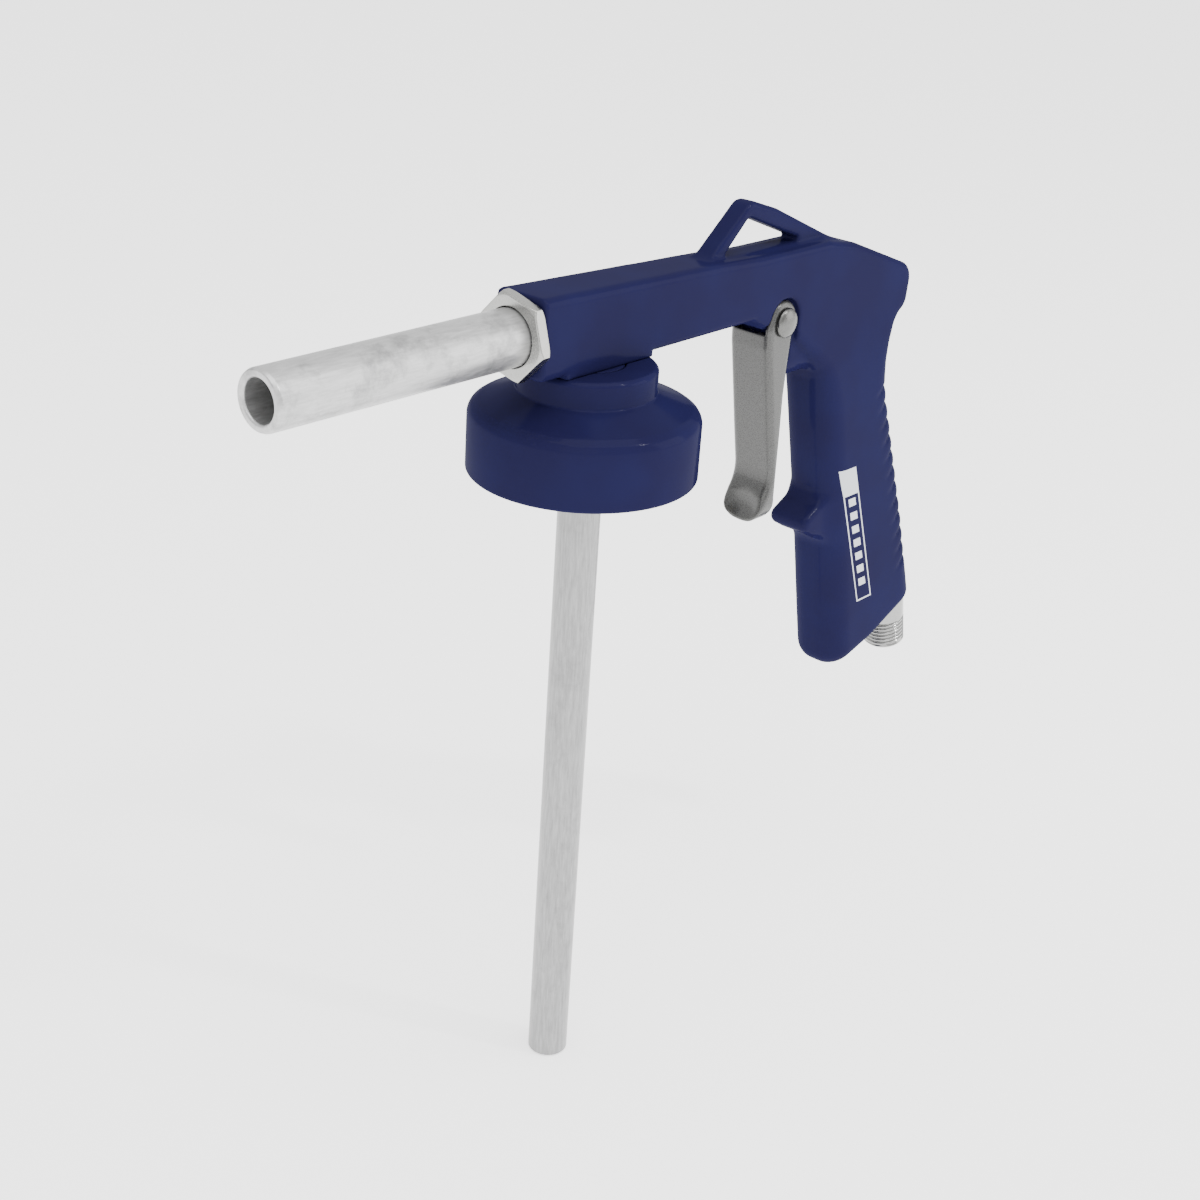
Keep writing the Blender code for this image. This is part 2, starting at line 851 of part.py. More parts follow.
def make_valve(steel, brass, rubber):
    def along_valve(name, profile, material, steps=TINY_ROUND):
        return turned(name, profile, VALVE_AXIS, X_AXIS, material, steps)

    nut_front = 74.3
    along_valve(
        "gland_nut",
        [
            (STEM_R + GAP, 80.0),
            (VALVE_BORE_R - GAP, 80.0),
            (VALVE_BORE_R - GAP, VALVE_BOSS_FRONT_X - GAP),
            (4.5, VALVE_BOSS_FRONT_X - GAP),
            (4.5, nut_front + 0.5),
            (4.0, nut_front),
            (STEM_R + GAP, nut_front),
        ],
        brass,
    )
    along_valve(
        "stem_packing",
        tube_profile(STEM_R + GAP, VALVE_BORE_R - GAP, 80.3, 82.3 - GAP * 2),
        rubber,
    )
    groove = 90.0
    along_valve(
        "valve_cartridge",
        [
            (2.2, SEAT_X),
            (2.6, SEAT_X),
            (VALVE_BORE_R - GAP, SEAT_X - 1.0),
            (VALVE_BORE_R - GAP, groove + 1.0),
            (2.6, groove + 1.0),
            (2.6, groove - 1.0),
            (VALVE_BORE_R - GAP, groove - 1.0),
            (VALVE_BORE_R - GAP, 85.0),
            (2.2, 85.0),
        ],
        brass,
    )
    along_valve(
        "cartridge_o_ring",
        tube_profile(2.9, VALVE_BORE_R - 0.15, groove - 0.6, groove + 0.6, 0.2),
        rubber,
    )
    along_valve(
        "valve_stem",
        [
            (0, 104.0),
            (1.0, 104.0),
            (1.0, SEAT_X + 3.4),
            (2.9, SEAT_X + 3.4),
            (2.9, SEAT_X + 2.2),
            (STEM_R, SEAT_X + 2.2),
            *[
                (STEM_R * math.cos(a), STEM_TIP_X + STEM_R * (1 - math.sin(a)))
                for a in (0.0, 0.5, 1.0)
            ],
            (0, STEM_TIP_X),
        ],
        steel,
    )
    along_valve(
        "valve_seal_washer",
        tube_profile(STEM_R + GAP, 2.9, SEAT_X + GAP, SEAT_X + 1.9),
        rubber,
    )
    helix("valve_spring", 2.4, 0.7, SEAT_X + 4.2, VALVE_BORE_END_X - 0.8, 6, VALVE_Z, steel)


def make_inlet(chrome, fibre):
    turned(
        "inlet_nipple",
        [
            (INLET_BORE_R, INLET_TOP),
            (4.2, INLET_TOP),
            (4.6, INLET_TOP - 0.5),
            (4.6, INLET_SHOULDER),
            (INLET_R, INLET_SHOULDER),
            (INLET_R, 1.0),
            (INLET_R - 1.0, 0.0),
            (INLET_BORE_R, 0.0),
        ],
        INLET_FOOT,
        INLET_UP,
        chrome,
        steps=SMALL_ROUND,
    )
    seal = tube_profile(
        5.2, INLET_R - 0.2, INLET_SHOULDER + GAP, INLET_SPOT_FACE - GAP
    )
    turned(
        "inlet_seal", seal, INLET_FOOT, INLET_UP, fibre, steps=SMALL_ROUND
    )


def main():
    paint = finish_of("navy_paint", PAINT, 0.28, 0.0)
    cap_paint = finish_of("cap_paint", PAINT, 0.28, 0.0)
    aluminium = finish_of("tube_aluminium", ALUMINIUM, 0.42, 1.0)
    steel = finish_of("plated_steel", STEEL, 0.3, 1.0)
    trigger_steel = finish_of("satin_trigger", STEEL, 0.45, 1.0)
    chrome = finish_of("inlet_chrome", (0.8, 0.8, 0.8), 0.12, 1.0)
    brass = finish_of("brass", BRASS, 0.3, 1.0)
    rubber = finish_of("rubber", RUBBER, 0.7, 0.0)
    fibre = finish_of("fibre", FIBRE, 0.8, 0.0)
    make_body(paint)
    make_nozzle(aluminium, steel, brass, fibre)
    make_cap(cap_paint, rubber, steel, brass, aluminium)
    make_trigger(trigger_steel)
    make_pivot(steel)
    make_valve(steel, brass, rubber)
    make_inlet(chrome, fibre)


main()
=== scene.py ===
"""Looks of the coating gun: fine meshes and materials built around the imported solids.

Lengths of pieces are millimetres and become metres through MM. The nozzle points to -X and
+Z is up. The casting, the trigger and the lock nut are modelled as signed distance fields,
which round and fillet where shapes meet, and are then meshed. Turned pieces are profiles
swept round their axis, and the valve's spring is a swept wire.
"""

import json
import math

import bmesh
import bpy
import numpy as np
import openvdb
from mathutils import Matrix, Vector


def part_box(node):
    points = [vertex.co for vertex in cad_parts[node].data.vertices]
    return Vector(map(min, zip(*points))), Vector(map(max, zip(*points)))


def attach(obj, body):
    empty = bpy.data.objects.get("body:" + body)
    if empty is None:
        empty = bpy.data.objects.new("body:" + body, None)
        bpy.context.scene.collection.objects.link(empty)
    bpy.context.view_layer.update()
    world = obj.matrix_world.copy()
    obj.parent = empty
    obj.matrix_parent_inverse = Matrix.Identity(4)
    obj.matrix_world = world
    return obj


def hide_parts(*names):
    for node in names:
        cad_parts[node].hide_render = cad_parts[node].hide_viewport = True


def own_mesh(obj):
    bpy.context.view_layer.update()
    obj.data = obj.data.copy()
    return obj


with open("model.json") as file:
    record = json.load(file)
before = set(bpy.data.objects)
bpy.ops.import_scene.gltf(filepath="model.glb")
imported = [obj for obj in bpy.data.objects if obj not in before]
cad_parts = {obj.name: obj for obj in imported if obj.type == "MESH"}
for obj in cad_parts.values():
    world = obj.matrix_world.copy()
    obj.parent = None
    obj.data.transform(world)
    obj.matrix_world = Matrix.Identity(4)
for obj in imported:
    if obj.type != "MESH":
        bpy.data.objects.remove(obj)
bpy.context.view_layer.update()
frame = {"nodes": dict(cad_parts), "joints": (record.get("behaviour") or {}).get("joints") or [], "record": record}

MM = 0.001


# ---------------------------------------------------------------- places from the frame


def span(node):
    """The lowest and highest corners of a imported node, in millimetres."""
    low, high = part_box(node)
    return low / MM, high / MM


def joint(name):
    return next(j for j in frame["joints"] if j["name"] == name)


def mount(name):
    return next(m for m in frame["record"]["mounts"] if m["name"] == name)


PIVOT = Vector(joint("trigger_pull")["pos_m"]) / MM
NOZZLE_LOW, NOZZLE_HIGH = span("nozzle_tube")
NUT_LOW, NUT_HIGH = span("nozzle_lock_nut")
CAP_BOTTOM = span("can_cap")[0].z
TUBE_LOW, TUBE_HIGH = span("suction_tube")
PIN_NEAR_END = span("trigger_pivot_pin")[0].y
BODY_LOW, BODY_HIGH = span("gun_body")
TRIGGER_LOW, TRIGGER_HIGH = span("trigger")
BARREL_Z = (NOZZLE_LOW.z + NOZZLE_HIGH.z) / 2
INLET_FOOT = Vector(mount("inlet_end_face")["pos_m"]) / MM
INLET_FOOT.y = 0.0
INLET_UP = -Vector(mount("inlet_end_face")["axis"]).normalized()


# ---------------------------------------------------------------- new objects


def placed(name, data):
    """A new object that holds data, linked to the scene."""
    obj = bpy.data.objects.new(name, data)
    bpy.context.scene.collection.objects.link(obj)
    return obj


def placed_shape(name, shape):
    """A new object from a bmesh, which is freed."""
    mesh = bpy.data.meshes.new(name)
    shape.to_mesh(mesh)
    shape.free()
    return placed(name, mesh)


# ---------------------------------------------------------------- camera, light and floor

CAMERA_PLACE = (-325.5, -284.0, 151.3)
CAMERA_AZIMUTH_DEG = -49.79
CAMERA_ELEVATION_DEG = 24.77
CAMERA_ROLL_DEG = -3.79
CAMERA_LENS = 55.6
CAMERA_CLIP_M = 0.01

WORLD_STRENGTH = 1.5
LIGHT_AIM_M = (0.03, 0.0, -0.03)
# Name, place in metres, width and height in metres, and power in watts.
LIGHTS = (
    ("top_softbox", (-0.1, -0.3, 1.1), (1.2, 1.0), 11.0),
    ("right_softbox", (0.9, -0.9, 0.35), (0.8, 0.8), 6.0),
    ("left_softbox", (-0.9, -0.7, 0.5), (0.8, 0.8), 2.0),
    ("glint_lamp", (0.35, -0.75, 0.85), (0.05, 0.14), 4.0),
)

WHITE = (1.0, 1.0, 1.0, 1.0)
FLOOR_GAP = 0.4
FLOOR_SIZE_M = 40.0
FLOOR_SQUARES = 8
FLOOR_COLOUR = (0.93, 0.93, 0.93)
FLOOR_ROUGHNESS = 0.9
FLOOR_SPECULAR = 0.1
FLOOR_GLOW = 1.3


def make_camera():
    azimuth = math.radians(CAMERA_AZIMUTH_DEG)
    elevation = math.radians(CAMERA_ELEVATION_DEG)
    roll = math.radians(CAMERA_ROLL_DEG)
    forward = Vector(
        (
            -math.sin(azimuth) * math.cos(elevation),
            math.cos(azimuth) * math.cos(elevation),
            -math.sin(elevation),
        )
    )
    level = Vector((math.cos(azimuth), math.sin(azimuth), 0.0))
    down = forward.cross(level)
    right = math.cos(roll) * level + math.sin(roll) * down
    up = math.sin(roll) * level - math.cos(roll) * down
    turn = Matrix((right, up, -forward)).transposed().to_4x4()
    data = bpy.data.cameras.new("camera")
    data.lens = CAMERA_LENS
    data.clip_start = CAMERA_CLIP_M
    camera = placed("camera", data)
    camera.matrix_world = Matrix.Translation(Vector(CAMERA_PLACE) * MM) @ turn
    bpy.context.scene.camera = camera


def area_light(name, place, size, power):
    """A white softbox that faces the gun."""
    data = bpy.data.lights.new(name, "AREA")
    data.shape = "RECTANGLE"
    data.size, data.size_y = size
    data.energy = power
    light = placed(name, data)
    light.location = place
    direction = Vector(LIGHT_AIM_M) - Vector(place)
    light.rotation_euler = direction.to_track_quat("-Z", "Y").to_euler()


def make_light():
    world = bpy.data.worlds.new("studio")
    bpy.context.scene.world = world
    world.use_nodes = True
    background = world.node_tree.nodes["Background"]
    background.inputs["Color"].default_value = WHITE
    background.inputs["Strength"].default_value = WORLD_STRENGTH
    for name, place, size, power in LIGHTS:
        area_light(name, place, size, power)


def make_floor():
    """A pale floor just under the suction tube."""
    shape = bmesh.new()
    squares = FLOOR_SQUARES
    bmesh.ops.create_grid(shape, x_segments=squares, y_segments=squares, size=FLOOR_SIZE_M)
    floor = placed_shape("floor", shape)
    floor.location.z = (TUBE_LOW.z - FLOOR_GAP) * MM
    material, shader, _ = new_material("pale_floor", FLOOR_COLOUR, FLOOR_ROUGHNESS)
    shader.inputs["Emission Color"].default_value = WHITE
    shader.inputs["Emission Strength"].default_value = FLOOR_GLOW
    shader.inputs["Specular IOR Level"].default_value = FLOOR_SPECULAR
    floor.data.materials.append(material)


# ---------------------------------------------------------------- materials


def new_material(name, colour, roughness, metallic=0.0):
    """A material, its Principled shader, and a function that adds linked nodes to it."""
    material = bpy.data.materials.new(name)
    material.use_nodes = True
    tree = material.node_tree
    shader = tree.nodes["Principled BSDF"]
    shader.inputs["Base Color"].default_value = (*colour, 1.0)
    shader.inputs["Roughness"].default_value = roughness
    shader.inputs["Metallic"].default_value = metallic

    def add(kind, inputs=None, **settings):
        node = tree.nodes.new(kind)
        for key, value in settings.items():
            setattr(node, key, value)
        for key, value in (inputs or {}).items():
            if isinstance(value, bpy.types.NodeSocket):
                tree.links.new(value, node.inputs[key])
            else:
                node.inputs[key].default_value = value
        return node

    add.link = tree.links.new
    return material, shader, add


def place_of(add, scale):
    """Object coordinates in millimetres, stretched by scale."""
    coordinates = add("ShaderNodeTexCoord")
    return add(
        "ShaderNodeMapping",
        {"Vector": coordinates.outputs["Object"], "Scale": [s / MM for s in scale]},
    ).outputs["Vector"]


def noise(add, vector, scale, detail=3.0, rough=0.55):
    return add(
        "ShaderNodeTexNoise",
        {"Vector": vector, "Scale": scale, "Detail": detail, "Roughness": rough},
    ).outputs["Fac"]


def remap(add, value, low, high, new_low, new_high):
    return add(
        "ShaderNodeMapRange",
        {
            "Value": value,
            "From Min": low,
            "From Max": high,
            "To Min": new_low,
            "To Max": new_high,
        },
    ).outputs["Result"]


def blend_colours(add, factor, first, second):
    """From first to second as the factor's socket goes from 0 to 1."""
    node = add("ShaderNodeMix", data_type="RGBA")
    for name, value in (("Factor", factor), ("A", first), ("B", second)):
        socket = next(s for s in node.inputs if s.name == name and s.enabled)
        if isinstance(value, bpy.types.NodeSocket):
            add.link(value, socket)
        else:
            socket.default_value = (*value, 1.0)
    return next(s for s in node.outputs if s.enabled)


def bump(add, shader, height, strength, distance_mm):
    node = add("ShaderNodeBump", {"Height": height})
    node.inputs["Strength"].default_value = strength
    node.inputs["Distance"].default_value = distance_mm * MM
    add.link(node.outputs["Normal"], shader.inputs["Normal"])


EVEN = (1, 1, 1)

LABEL_LEAN = 0.38  # how far the label leans back for each millimetre down
LABEL_ACROSS = 93.8
LABEL_DEPTH = 59.5
LABEL_HALF_WIDTH = 3.9
LABEL_HALF_LENGTH = 23.4
LABEL_LINE = 0.55
LABEL_BLOCK = 14.5
LABEL_BAR = 2.4
LABEL_BAR_GAP = LABEL_BAR * 0.45
LABEL_BAR_HALF_WIDTH = LABEL_HALF_WIDTH * 0.45
LABEL_CLEAR = 4.2
LABEL_SIDE = -4.0
LABEL_WHITE = (0.55, 0.56, 0.60)

NAVY_DARK = (0.0090, 0.0084, 0.0350)
NAVY_LIGHT = (0.0094, 0.0095, 0.0415)
ENAMEL_CLOUD_SCALE = 0.05
ENAMEL_PEEL_SCALE = 0.55
ENAMEL_DETAIL = 2.0
ENAMEL_ROUGHNESS = (0.24, 0.34)
ENAMEL_COAT = 0.06
ENAMEL_COAT_ROUGHNESS = 0.14
ENAMEL_BUMP = (0.05, 0.02)

GRAIN_DETAIL = (4.0, 0.65)
GRAIN_BUMP = (0.25, 0.03)
STAIN_SCALE = 0.12
STAIN_DETAIL = (5.0, 0.7)
STAIN_EDGES = (0.52, 0.72)
STAIN_SHADE = 0.55

SPECKLE_SCALE = 1.4
SPECKLE_DETAIL = (4.0, 0.6)
SPECKLE_BUMP = (0.3, 0.05)


def printed_label(add, colour):
    """A plain white label on the grip's near side: a frame, a solid end and blank bars."""
    where = place_of(add, EVEN)

    def maths(operation, first, second=0.0):
        return add("ShaderNodeMath", {0: first, 1: second}, operation=operation).outputs[0]

    axes = add("ShaderNodeSeparateXYZ", {"Vector": where}).outputs
    lean = maths("MULTIPLY", axes["Z"], LABEL_LEAN)
    across = maths("SUBTRACT", maths("ADD", axes["X"], lean), LABEL_ACROSS)
    along = maths("ADD", axes["Z"], LABEL_DEPTH)
    from_side = maths("SUBTRACT", maths("ABSOLUTE", across), LABEL_HALF_WIDTH)
    from_end = maths("SUBTRACT", maths("ABSOLUTE", along), LABEL_HALF_LENGTH)
    edge = maths("MAXIMUM", from_side, from_end)
    frame_line = maths("GREATER_THAN", edge, -LABEL_LINE)
    block = maths("GREATER_THAN", along, LABEL_BLOCK)
    bars = maths("GREATER_THAN", maths("PINGPONG", along, LABEL_BAR), LABEL_BAR_GAP)
    middle = maths("LESS_THAN", maths("ABSOLUTE", across), LABEL_BAR_HALF_WIDTH)
    middle = maths("MULTIPLY", middle, maths("LESS_THAN", from_end, -LABEL_CLEAR))
    white = maths("MAXIMUM", maths("MAXIMUM", frame_line, block), maths("MULTIPLY", bars, middle))
    white = maths("MULTIPLY", white, maths("LESS_THAN", edge, 0.0))
    white = maths("MULTIPLY", white, maths("LESS_THAN", axes["Y"], LABEL_SIDE))
    return blend_colours(add, white, colour, LABEL_WHITE)


def enamel(name, labelled=False):
    """Navy enamel with little gloss and a slight orange peel."""
    material, shader, add = new_material(name, NAVY_DARK, ENAMEL_ROUGHNESS[0])
    where = place_of(add, EVEN)
    cloud = noise(add, where, ENAMEL_CLOUD_SCALE, ENAMEL_DETAIL)
    tone = remap(add, cloud, 0.35, 0.65, 0.0, 1.0)
    colour = blend_colours(add, tone, NAVY_DARK, NAVY_LIGHT)
    if labelled:
        colour = printed_label(add, colour)
    add.link(colour, shader.inputs["Base Color"])
    peel = noise(add, where, ENAMEL_PEEL_SCALE, ENAMEL_DETAIL)
    add.link(remap(add, peel, 0.3, 0.7, *ENAMEL_ROUGHNESS), shader.inputs["Roughness"])
    shader.inputs["Coat Weight"].default_value = ENAMEL_COAT
    shader.inputs["Coat Roughness"].default_value = ENAMEL_COAT_ROUGHNESS
    shader.inputs["Specular IOR Level"].default_value = 0.0
    bump(add, shader, peel, *ENAMEL_BUMP)
    return material


def metal(
    name, light, dark, roughness, grain_scale, stretch=EVEN, grain=0.3, stain=0.0, bare=1.0
):
    """Bare metal with a fine grain, stretched along its working direction, and stains.

    Below 1, bare leaves part of the surface dull, as an oxide does.
    """
    material, shader, add = new_material(name, light, roughness, bare)
    where = place_of(add, stretch)
    fine = noise(add, where, grain_scale, *GRAIN_DETAIL)
    tone = remap(add, fine, 0.3, 0.7, 0.5 - grain, 0.5 + grain)
    colour = blend_colours(add, tone, dark, light)
    if stain:
        patches = noise(add, place_of(add, EVEN), STAIN_SCALE, *STAIN_DETAIL)
        amount = remap(add, patches, *STAIN_EDGES, 0.0, stain)
        colour = blend_colours(add, amount, colour, [c * STAIN_SHADE for c in dark])
    add.link(colour, shader.inputs["Base Color"])
    add.link(
        remap(add, fine, 0.25, 0.75, roughness - 0.07, roughness + 0.09),
        shader.inputs["Roughness"],
    )
    bump(add, shader, fine, *GRAIN_BUMP)
    return material


def soft_material(name, dark, light, roughness):
    """Rubber or fibre with fine speckles."""
    material, shader, add = new_material(name, dark, roughness)
    speckle = noise(add, place_of(add, EVEN), SPECKLE_SCALE, *SPECKLE_DETAIL)
    tone = remap(add, speckle, 0.35, 0.65, 0.0, 1.0)
    add.link(blend_colours(add, tone, dark, light), shader.inputs["Base Color"])
    bump(add, shader, speckle, *SPECKLE_BUMP)
    return material


def make_materials():
    """One material for each slot. Metals go from their light to their dark grain."""
    return {
        "body_paint": enamel("body_enamel", labelled=True),
        "cap_paint": enamel("cap_enamel"),
        "nozzle": metal(
            "drawn_nozzle", (0.54, 0.54, 0.54), (0.40, 0.40, 0.40), 0.36, 1.6,
            (0.12, 1, 1), 0.5, 0.8, 0.85,
        ),
        "suction": metal(
            "drawn_suction", (0.34, 0.34, 0.34), (0.22, 0.22, 0.22), 0.32, 1.6,
            (1, 1, 0.10), 0.5, 0.35, 0.8,
        ),
        "nut_steel": metal("ground_nut", (0.40, 0.40, 0.385), (0.28, 0.28, 0.27), 0.24, 2.2),
        "trigger_steel": metal(
            "tumbled_trigger", (0.095, 0.095, 0.093), (0.045, 0.045, 0.044), 0.28, 3.2,
            grain=0.5, bare=0.6
        ),
        "rivet_steel": metal("rivet_steel", (0.15, 0.15, 0.145), (0.09, 0.09, 0.087), 0.26, 2.5),
        "valve_steel": metal("turned_steel", (0.55, 0.55, 0.54), (0.44, 0.44, 0.43), 0.28, 2.5),
        "inlet_chrome": metal("plated_inlet", (0.36, 0.36, 0.355), (0.26, 0.26, 0.255), 0.16, 2.0),
        "brass_parts": metal("turned_brass", (0.72, 0.52, 0.24), (0.58, 0.41, 0.17), 0.27, 2.5),
        "black_rubber": soft_material(
            "black_rubber", (0.018, 0.018, 0.018), (0.032, 0.032, 0.032), 0.72
        ),
        "fibre_seal": soft_material("red_fibre", (0.30, 0.075, 0.045), (0.40, 0.12, 0.07), 0.8),
    }


# ---------------------------------------------------------------- distance fields

BAND_STEPS = 3


def polygon_field(outline, x, z):
    """Signed distance to a closed outline, negative inside. x and z broadcast together."""
    x, z = np.broadcast_arrays(x, z)
    nearest = np.full(x.shape, 1e9, np.float32)
    inside = np.zeros(x.shape, bool)
    for (ax, az), (bx, bz) in zip(outline, [*outline[1:], outline[0]]):
        dx, dz = bx - ax, bz - az
        if dx == 0 and dz == 0:
            continue
        t = np.clip(((x - ax) * dx + (z - az) * dz) / (dx * dx + dz * dz), 0, 1)
        nearest = np.minimum(nearest, np.hypot(x - ax - t * dx, z - az - t * dz))
        if dz:
            crosses = (az > z) != (bz > z)
            inside ^= crosses & (x < (z - az) / dz * dx + ax)
    return np.where(inside, -nearest, nearest).astype(np.float32)


def rounded(a, b, radius):
    """Where both a and b hold, with the edge between them rounded."""
    a, b = a + radius, b + radius
    outside = np.hypot(np.maximum(a, 0), np.maximum(b, 0))
    return np.minimum(np.maximum(a, b), 0) + outside - radius


def joined(a, b, fillet):
    """Where either holds, with a fillet of that radius between them."""
    return -rounded(-a, -b, fillet)


def without(a, cutter, edge):
    """a where cutter doesn't hold, with the cut's edge rounded."""
    return rounded(a, -cutter, edge)


def prism(outline, x, z):
    """An outline of (x, z) points carried across Y without end."""
    return polygon_field(outline, x[:, 0, :], z[:, 0, :])[:, None, :]


def plate(outline, x, y, z, half_thickness, edge):
    """An outline of (x, z) points as a plate across Y with rounded edges."""
    return rounded(prism(outline, x, z), np.abs(y) - half_thickness, edge)


def bar(x, y, z, start, end, radius, edge=0.0):
    """A round bar between two (x, z) points in the middle plane."""
    ax, az = start
    dx, dz = end[0] - ax, end[1] - az
    length = math.hypot(dx, dz)
    dx, dz = dx / length, dz / length
    along = (x - ax) * dx + (z - az) * dz
    across = (x - ax) * dz - (z - az) * dx
    side = np.hypot(across, y) - radius
    ends = np.abs(along - length / 2) - length / 2
    return rounded(side, ends, edge)


def arc(centre, radius, start_deg, end_deg, steps):
    angles = np.radians(np.linspace(start_deg, end_deg, steps + 1))
    return [
        (centre[0] + radius * math.cos(a), centre[1] + radius * math.sin(a))
        for a in angles
    ]


def eased(at, stations, values, reach=3.0):
    """Straight interpolation between stations, with its corners averaged away."""
    order = np.argsort(stations)
    stations = np.array(stations, float)[order]
    values = np.array(values, float)[order]
    shifts = np.linspace(-reach, reach, 7)
    return sum(np.interp(at + s, stations, values) for s in shifts) / len(shifts)


def smoothstep(value, low, high):
    t = np.clip((value - low) / (high - low), 0, 1)
    return t * t * (3 - 2 * t)


def meshed(name, field, low, high, step, mirrored=False):
    """The zero surface of field(x, y, z) in the box from low to high, as a mesh.

    A mirrored shape is worked out up to the last row of y and mirrored about that row.
    """
    counts = [int(round((b - a) / step)) + 1 for a, b in zip(low, high)]
    x, y, z = (
        (a + step * np.arange(n)).astype(np.float32) for a, n in zip(low, counts)
    )
    values = field(x[:, None, None], y[None, :, None], z[None, None, :])
    values = np.ascontiguousarray(np.broadcast_to(values, counts), np.float32)
    if mirrored:
        values = np.concatenate([values, values[:, -2::-1]], axis=1)
    band = BAND_STEPS * step
    grid = openvdb.FloatGrid(background=band + step)
    grid.copyFromArray(np.clip(values, -band, band).astype(float))
    points, quads = grid.convertToQuads()
    points = np.asarray(points) * step + np.array(low)
    mesh = bpy.data.meshes.new(name)
    mesh.vertices.add(len(points))
    mesh.vertices.foreach_set("co", (points * MM).astype(np.float32).ravel())
    quads = np.asarray(quads, np.int32)[:, ::-1]
    mesh.loops.add(quads.size)
    mesh.loops.foreach_set("vertex_index", quads.ravel())
    mesh.polygons.add(len(quads))
    mesh.polygons.foreach_set("loop_start", np.arange(0, quads.size, 4, dtype=np.int32))
    mesh.update(calc_edges=True)
    mesh.validate()
    return placed(name, mesh)


def finished(obj, material, body, node, angle_deg=None):
    """Gives a new piece its material and body, and hides the imported node that it stands for.

    Edges that turn by more than angle_deg stay sharp.
    """
    obj.data.materials.clear()
    obj.data.materials.append(material)
    obj.data.shade_smooth()
    if angle_deg:
        obj.data.set_sharp_from_angle(angle=math.radians(angle_deg))
    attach(obj, body)
    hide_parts(node)


# ---------------------------------------------------------------- the die-cast body

BODY_STEP = 0.62
BODY_MARGIN = 2.0
# Not a whole number of steps: the grid's last row, and so the mirror, stands at y 0.09.
BODY_SIDE = -10.45
WEB_HALF = 4.9
WEB_EDGE = 0.5
WEB_FILLET = 0.5
HOOK_HALF = 3.0
HOOK_EDGE = 1.0
HOOK_EYE_EDGE = 0.8
HOOK_FILLET = 1.4
SPUR_HALF = 6.6
SPUR_EDGE = 2.0
SPUR_FILLET = 3.5
SWING_EDGE = 0.4
SWING_FILLET = 0.5
BARREL_EDGE = 2.0
BARREL_END_EDGE = 0.7
BARREL_BOTTOM = 16.4
BARREL_STATIONS = (-24.4, 45.0, 60.0, 85.0)
BARREL_TOPS = (36.3, 34.2, 33.4, 32.8)
BARREL_HALVES = (8.0, 7.25, 7.05, 6.8)
NECK_BLOCK_HALVES = (15.6, 7.7)
NECK_BLOCK_HEIGHTS = (15.45, 18.4)
NECK_BLOCK_CORNER = 0.8
NECK_BLOCK_EDGE = 0.2
PIN_HOLE_R = 2.3
VALVE_Z = 1.0
VALVE_BOSS = (76.0, 92.0)
VALVE_BOSS_R = 4.9
VALVE_BOSS_EDGE = 0.5
VALVE_BOSS_FILLET = 0.5
BORE_EDGE = 0.25
INLET_R = 6.58
INLET_GAP = 0.3
SPOT_FACE = 20.5

HANDLE_HEIGHTS = (-108, -101, -88, -16, -8, 2, 10, 16)
HANDLE_HALVES = (8.7, 9.0, 9.2, 9.2, 8.8, 7.8, 7.1, 7.0)
HANDLE_CORNERS = (7.4, 7.8, 8.0, 8.0, 7.0, 4.5, 2.6, 1.6)
GRIP_BACK_HEIGHTS = (-90, -61, -27, -11)
GRIP_BACKS = (157.0, 146.5, 132.6, 126.6)
GRIP_FLOOR = (120.0, -104.7)
GRIP_FLOOR_RISE = math.radians(23.6)
GRIP_FLOOR_STATIONS = (116.0, 132.0)
GRIP_FLOOR_EDGES = (6.0, 2.5)

RIDGE_TOP = (123.8, -14.1)
RIDGE_BOTTOM = (149.2, -74.9)
RIDGE_COUNT = 11
RIDGE_DEPTH = 1.15
RIDGE_FADE = 0.35  # share of one ridge over which the first and the last run out
RIDGE_REACH = (5.0, 12.0)
RIDGE_GROOVE_FLOOR = 1e-4


def barrel_field(x, y, z):
    top = np.interp(x, BARREL_STATIONS, BARREL_TOPS)
    half_width = np.interp(x, BARREL_STATIONS, BARREL_HALVES)
    middle = (top + BARREL_BOTTOM) / 2
    sides = np.abs(y) - half_width
    section = rounded(sides, np.abs(z - middle) - (top - middle), BARREL_EDGE)
    rear = BARREL_STATIONS[-1]
    centre = (BARREL_STATIONS[0] + rear) / 2
    return rounded(section, np.abs(x - centre) - (rear - centre), BARREL_END_EDGE)


def ridges(x, z, back):
    """Depth of the finger ridges: round crowns with sharp grooves between them."""
    run = math.dist(RIDGE_TOP, RIDGE_BOTTOM)
    dx = (RIDGE_BOTTOM[0] - RIDGE_TOP[0]) / run
    dz = (RIDGE_BOTTOM[1] - RIDGE_TOP[1]) / run
    along = (x - RIDGE_TOP[0]) * dx + (z - RIDGE_TOP[1]) * dz
    phase = along * RIDGE_COUNT / run
    groove = 1 - np.sqrt(np.abs(np.sin(np.pi * phase)) + RIDGE_GROOVE_FLOOR)
    begun = smoothstep(phase, -RIDGE_FADE, 0.0)
    over = smoothstep(phase, RIDGE_COUNT, RIDGE_COUNT + RIDGE_FADE)
    near_back = 1 - smoothstep(back - x, *RIDGE_REACH)
    return RIDGE_DEPTH * groove * (begun * (1 - over)) * near_back


